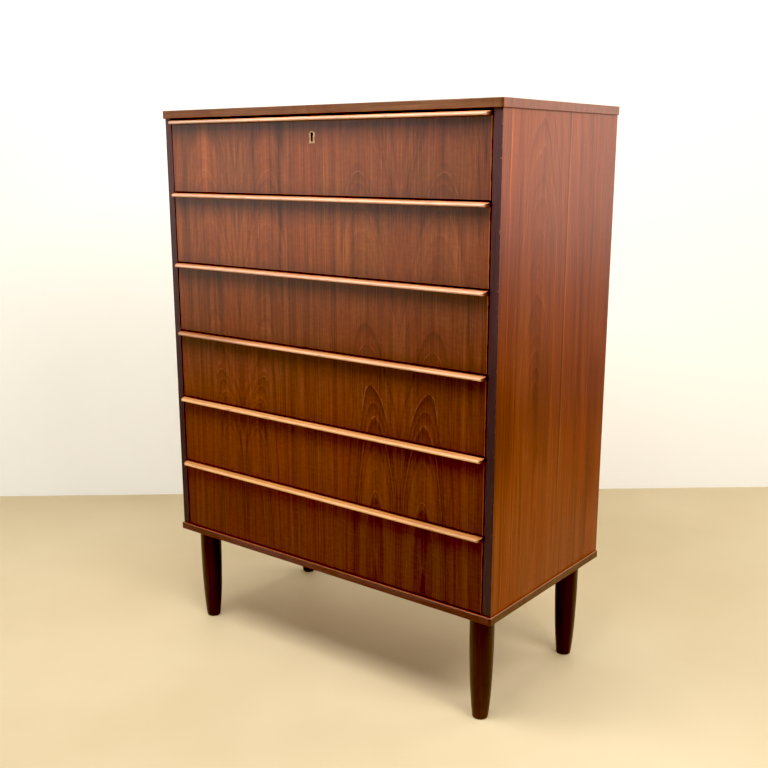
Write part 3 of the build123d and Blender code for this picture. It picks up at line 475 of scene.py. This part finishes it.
def lip_material():
    g = G("lip_pull_teak")
    X, Y, Z = g.X, g.Y, g.Z
    k = Z / 40.0
    a = g.noise(X / 160.0, Y / 5.0, k, 2.0, 0.55) - 0.5
    b = g.noise(X / 60.0, Y / 1.1, Z / 1.1, 2.0, 0.6) - 0.5
    c = g.noise(X / 16.0, Y / 0.5, Z / 0.5, 2.0, 0.6) - 0.5
    t = (0.52 + a * 0.85 + b * 0.8 + c * 0.35).clamp()
    col = g.ramp(t, [(0.0, lin(134, 78, 44)), (0.35, lin(184, 122, 76)), (0.62, lin(204, 146, 98)), (1.0, lin(228, 180, 134))])
    # painted shade: a golden band along the middle of the slope stands in for the shade of a hollow; painted highlight:
    # pale along the nose
    painted_hollow_shade = g.band(Y + a * 3.0, -203.4, 3.6) * g.noise(X / 90.0, 2.0, k, 1.0).smooth(0.25, 0.6)
    col = g.mix(painted_hollow_shade * 0.45, col, lin(172, 108, 56))
    painted_nose_highlight = Y.smooth(-204.5, -208.0)
    col = g.mix(painted_nose_highlight * 0.55, col, lin(232, 190, 154))
    # painted light: pinker on the upper drawers, more golden lower down
    col = g.mix(1.0, col, g.ramp(Z.smooth(420.0, 820.0), [(0.0, (1.0, 1.0, 0.86, 1)), (1.0, (0.94, 0.92, 1.10, 1))]), "MULTIPLY")
    # painted shade on stretches of three lips: the left part of lips 1 and 4, the right part of lip 6
    painted_shade_left = X.smooth(-120.0, -260.0)
    col = g.mix(painted_shade_left * g.band(Z, 651.0, 60.0), col, g.mix(1.0, col, (0.66, 0.60, 0.62), "MULTIPLY"))
    col = g.mix(painted_shade_left * g.band(Z, 1077.0, 60.0), col, g.mix(1.0, col, (0.72, 0.82, 0.90), "MULTIPLY"))
    col = g.mix(X.smooth(170.0, 300.0) * g.band(Z, 367.0, 60.0), col, g.mix(1.0, col, (0.78, 0.72, 0.72), "MULTIPLY"))
    # grime and cracks along the grain
    crack = g.noise(X / 26.0, Y / 0.9, Z / 1.5 + 9.0, 1.0).smooth(0.66, 0.74)
    col = g.mix(crack * 0.6, col, lin(92, 48, 26))
    # painted shadow along the back of the lip, where the part above shades it
    back = (Y + Z.smooth(540.0, 700.0) * 1.5).smooth(-199.4, -197.4) * Y.smooth(-192.5, -195.5)
    col = g.mix(back * 0.85, col, lin(84, 40, 22))
    # dark, grimy end grain, with painted shade on the end faces and towards the ends
    geo = g.node("ShaderNodeNewGeometry")
    sp = g.node("ShaderNodeSeparateXYZ")
    g.t.links.new(geo.outputs["Normal"], sp.inputs[0])
    end_grain_and_shade = E(g, sp.outputs[0]).abs().smooth(0.35, 0.85)
    col = g.mix(end_grain_and_shade * 0.9, col, lin(60, 32, 22))
    col = g.mix(X.abs().smooth(368.0, 377.0) * 0.3, col, lin(108, 62, 42))
    rough = 0.46 + b * 0.15 + crack * 0.2
    return g.finish(col, rough, b + c * 0.6 - crack, 0.35, 0.0003, Specular_IOR_Level=0.45)


def leg_material():
    g = G("leg_dark_stained")
    X, Y, Z = g.X, g.Y, g.Z
    a = g.noise(X / 7.0, Z / 260.0, Y / 7.0, 2.0, 0.55) - 0.5
    b = g.noise(X / 1.4, Z / 90.0, Y / 1.4, 2.0, 0.6) - 0.5
    t = (0.5 + a * 0.8 + b * 0.5).clamp()
    col = g.ramp(t, [(0.0, lin(22, 9, 6)), (0.5, lin(50, 23, 13)), (1.0, lin(92, 46, 24))])
    foot = Z.smooth(9.0, 0.5) * g.noise(X / 3.0, Z / 3.0, Y / 3.0, 1.0).smooth(0.45, 0.6)
    col = g.mix(foot * 0.5, col, lin(120, 80, 55))
    return g.finish(col, 0.34 + b * 0.12, b, 0.15, 0.0002, Specular_IOR_Level=0.5)


def metal(name, colour, dull, rough, key):
    g = G(name)
    n = g.noise(g.X / 2.2, g.Y / 2.2, g.Z / 2.2 + key, 3.0, 0.6)
    sc = g.noise(g.X / 0.3, g.Y / 4.0, g.Z / 0.3 + key, 1.0) - 0.5
    col = g.mix(n.smooth(0.42, 0.70), colour, dull)
    return g.finish(col, rough + n * 0.18 + sc * 0.05, n + sc * 0.3, 0.12, 0.0001, Metallic=1.0)


def ply_material(name, u, v, key):
    g = G(name)
    ax = {"X": g.X, "Y": g.Y, "Z": g.Z}
    U, V = ax[u], ax[v]
    wob = (g.noise(U / 55.0, V / 300.0, key, 2.0) - 0.5) * 40.0
    r = ((U + 30.0 + wob) * (U + 30.0 + wob) * 0.06 + (V * 0.03 + 30.0) * (V * 0.03 + 30.0)).sqrt()
    dark, line, amp = ring_tone(g, r, key, 3.2)
    a = g.noise(U / 40.0, V / 700.0, key, 2.0) - 0.5
    c = g.noise(U / 1.0, V / 45.0, key + 3.0, 2.0, 0.6) - 0.5
    t = (0.55 + a * 0.3 + c * 0.35 - dark * amp * 0.24).clamp()
    col = g.ramp(t, [(0.0, lin(142, 104, 66)), (0.5, lin(196, 158, 112)), (1.0, lin(224, 194, 152))])
    stain = g.noise(U / 90.0, V / 120.0, key + 8.0, 3.0).smooth(0.55, 0.75)
    col = g.mix(stain * 0.25, col, lin(150, 112, 74))
    return g.finish(col, 0.62 + c * 0.15, c, 0.15, 0.0002, Specular_IOR_Level=0.35)


BEECH = [(0.0, lin(160, 110, 70)), (0.5, lin(205, 160, 112)), (1.0, lin(226, 188, 144))]
MAT = {
    "front": front_veneer(),
    "side": case_veneer("teak_side_veneer", "side"),
    "level": case_veneer("teak_top_veneer", "level"),
    "edging": edging_material(),
    "lip": lip_material(),
    "leg": leg_material(),
    "box_y": plain_wood("beech_along_y", "Z", "Y", "X", BEECH, 1.2, 0.5, 0.8, 2.0, 0.18, 0.4, 0.15),
    "box_x": plain_wood("beech_along_x", "Z", "X", "Y", BEECH, 1.2, 0.5, 0.8, 6.0, 0.18, 0.4, 0.15),
    "runner": plain_wood("beech_runner", "Z", "Y", "X", BEECH, 0.9, 0.42, 0.8, 9.0, 0.2, 0.45, 0.15),
    "ply_x": ply_material("ply_drawer_bottom", "Y", "X", 4.0),
    "ply_z": ply_material("ply_back_panel", "X", "Z", 15.0),
    "dowel": plain_wood("dowel_beech", "X", "Z", "Y", BEECH, 0.6, 0.6, 0.8, 3.0, 0.1, 0.3, 0.1),
    "steel": metal("zinc_steel", lin(196, 194, 188), lin(140, 138, 132), 0.30, 2.0),
    "brass": metal("aged_brass", lin(200, 170, 144), lin(142, 112, 86), 0.36, 5.0),
}

ASSIGN = {
    "top_panel": "level", "bottom_panel": "level",
    "left_side_panel": "side", "right_side_panel": "side",
    "left_front_edging": "edging", "right_front_edging": "edging",
    "back_panel": "ply_z", "back_panel_screws": "steel",
    "left_drawer_runners": "runner", "right_drawer_runners": "runner",
    "runner_screws": "steel", "case_dowels": "dowel",
    "leg_front_left": "leg", "leg_front_right": "leg", "leg_back_left": "leg", "leg_back_right": "leg",
    "leg_studs": "steel", "leg_tee_nuts": "steel",
    "keyhole_escutcheon": "brass", "lock_case": "steel", "lock_bolt": "brass", "lock_screws": "steel",
}
for n in range(1, 7):
    ASSIGN.update({
        f"drawer_{n}_front": "front", f"drawer_{n}_lip_pull": "lip",
        f"drawer_{n}_left_side": "box_y", f"drawer_{n}_right_side": "box_y",
        f"drawer_{n}_back": "box_x", f"drawer_{n}_bottom": "ply_x",
    })
for name, o in NODES.items():
    o.data.materials.clear()
    o.data.materials.append(MAT[ASSIGN[name]])


# ------------------------------------------------------------ stage
def stage_mesh(name, verts, faces, mat):
    me = bpy.data.meshes.new(name)
    me.from_pydata(verts, [], faces)
    me.update()
    o = bpy.data.objects.new(name, me)
    bpy.context.scene.collection.objects.link(o)
    me.materials.append(mat)
    return o


def floor_material():
    g = G("floor_pale")
    n = g.noise(g.X / 420.0, g.Y / 420.0, 0.0, 3.0, 0.5)
    col = g.ramp(n, [(0.3, lin(206, 188, 152)), (0.7, lin(214, 197, 163))])
    # painted light: the floor glows further away from the chest, and faintly beneath it
    painted_far_glow = (g.X * g.X + g.Y * g.Y).sqrt().smooth(2500.0, 5200.0)
    painted_glow_beneath_chest = g.X.abs().smooth(620.0, 150.0) * g.Y.abs().smooth(480.0, 80.0)
    g.put(g.bsdf.inputs["Emission Strength"], painted_far_glow * 0.62 + painted_glow_beneath_chest * 0.10)
    return g.finish(col, 0.55, None, Specular_IOR_Level=0.25, Emission_Color=lin(226, 208, 172))


def wall_material():
    """White from the room side, and clear from behind, so that the chest's back can be seen."""
    g = G("wall_white")
    # painted light: the wall glows more further away from the chest
    painted_far_glow = (g.X * g.X + g.Y * g.Y).sqrt().smooth(4700.0, 6400.0)
    g.put(g.bsdf.inputs["Emission Strength"], painted_far_glow * 0.45 + 0.22)
    g.finish(lin(232, 231, 226), 0.8, None, Specular_IOR_Level=0.2, Emission_Color=lin(253, 251, 242))
    geo = g.node("ShaderNodeNewGeometry")
    clear = g.node("ShaderNodeBsdfTransparent")
    mx = g.node("ShaderNodeMixShader")
    g.t.links.new(geo.outputs["Backfacing"], mx.inputs[0])
    g.t.links.new(g.bsdf.outputs[0], mx.inputs[1])
    g.t.links.new(clear.outputs[0], mx.inputs[2])
    g.t.links.new(mx.outputs[0], g.out.inputs[0])
    return g.m


stage_mesh("stage_floor", [(-9, -9, 0), (9, -9, 0), (9, 9, 0), (-9, 9, 0)], [(0, 1, 2, 3)], floor_material())
a0, along = Vector((0.043, 1.296, 0.0)), Vector((0.765, 0.644, 0.0)).normalized()
p0, p1 = a0 - along * 6.0, a0 + along * 6.0
stage_mesh(
    "stage_wall",
    [(p0.x, p0.y, 0), (p1.x, p1.y, 0), (p1.x, p1.y, 4.5), (p0.x, p0.y, 4.5)],
    [(0, 1, 2, 3)], wall_material(),
)


# ------------------------------------------------------------ light
def area(name, loc, target, sx, sy, power, colour=(1, 1, 1)):
    d = bpy.data.lights.new(name, "AREA")
    d.shape, d.size, d.size_y, d.energy, d.color = "RECTANGLE", sx, sy, power, colour
    o = bpy.data.objects.new(name, d)
    o.location = loc
    o.rotation_euler = (Vector(target) - Vector(loc)).to_track_quat("-Z", "Y").to_euler()
    o.visible_camera = False
    bpy.context.scene.collection.objects.link(o)
    return o


area("light_overhead", (0.00, -0.82, 2.02), (0.0, -0.30, 0.80), 1.5, 0.7, 34.0, (1.0, 0.985, 0.96))
area("light_right", (1.75, -0.35, 2.15), (0.40, 0.0, 0.75), 1.2, 1.1, 36.0, (1.0, 0.985, 0.96))
area("light_front_left", (-2.3, -2.75, 1.27), (0.0, -0.2, 0.85), 2.2, 2.0, 17.0, (1.0, 0.98, 0.97))
area("light_right_back", (1.50, 1.90, 1.52), (0.4, 0.0, 0.95), 1.8, 1.9, 26.0, (1.0, 0.985, 0.98))

# the world is soft fill light, and plain white where the camera sees it
world = bpy.data.worlds.new("studio")
world.use_nodes = True
wt = world.node_tree
bg = wt.nodes["Background"]
bg.inputs[0].default_value = (1.0, 0.985, 0.95, 1.0)
bg.inputs[1].default_value = 0.20
white = wt.nodes.new("ShaderNodeBackground")
white.inputs[0].default_value = (1.0, 0.99, 0.96, 1.0)
lp, mx = wt.nodes.new("ShaderNodeLightPath"), wt.nodes.new("ShaderNodeMixShader")
wt.links.new(lp.outputs["Is Camera Ray"], mx.inputs[0])
wt.links.new(bg.outputs[0], mx.inputs[1])
wt.links.new(white.outputs[0], mx.inputs[2])
wt.links.new(mx.outputs[0], wt.nodes["World Output"].inputs[0])
bpy.context.scene.world = world

vs = bpy.context.scene.view_settings
vs.view_transform = "Standard"
vs.look = "None"
vs.exposure = 0.0
vs.gamma = 1.0
vs.use_curve_mapping = True
vs.curve_mapping.black_level = (0.035, 0.035, 0.035)
vs.curve_mapping.update()


# ------------------------------------------------------------ camera
yaw, pitch, roll = -0.6629, -0.2330, -0.0008
f = Vector((math.sin(yaw) * math.cos(pitch), math.cos(yaw) * math.cos(pitch), math.sin(pitch)))
r = Vector((math.cos(yaw), -math.sin(yaw), 0.0))
u = r.cross(f)
r2 = r * math.cos(roll) + u * math.sin(roll)
u2 = r2.cross(f)
cam = bpy.data.cameras.new("camera")
cam.sensor_width, cam.lens = 36.0, 48.067
cam.shift_x, cam.shift_y = 0.00156, 0.02147
cam.clip_start, cam.clip_end = 0.05, 60.0
co = bpy.data.objects.new("camera", cam)
co.matrix_world = Matrix((
    (r2.x, u2.x, -f.x, 1.26704), (r2.y, u2.y, -f.y, -1.6153), (r2.z, u2.z, -f.z, 1.0052), (0, 0, 0, 1),
))
bpy.context.scene.collection.objects.link(co)
bpy.context.scene.camera = co
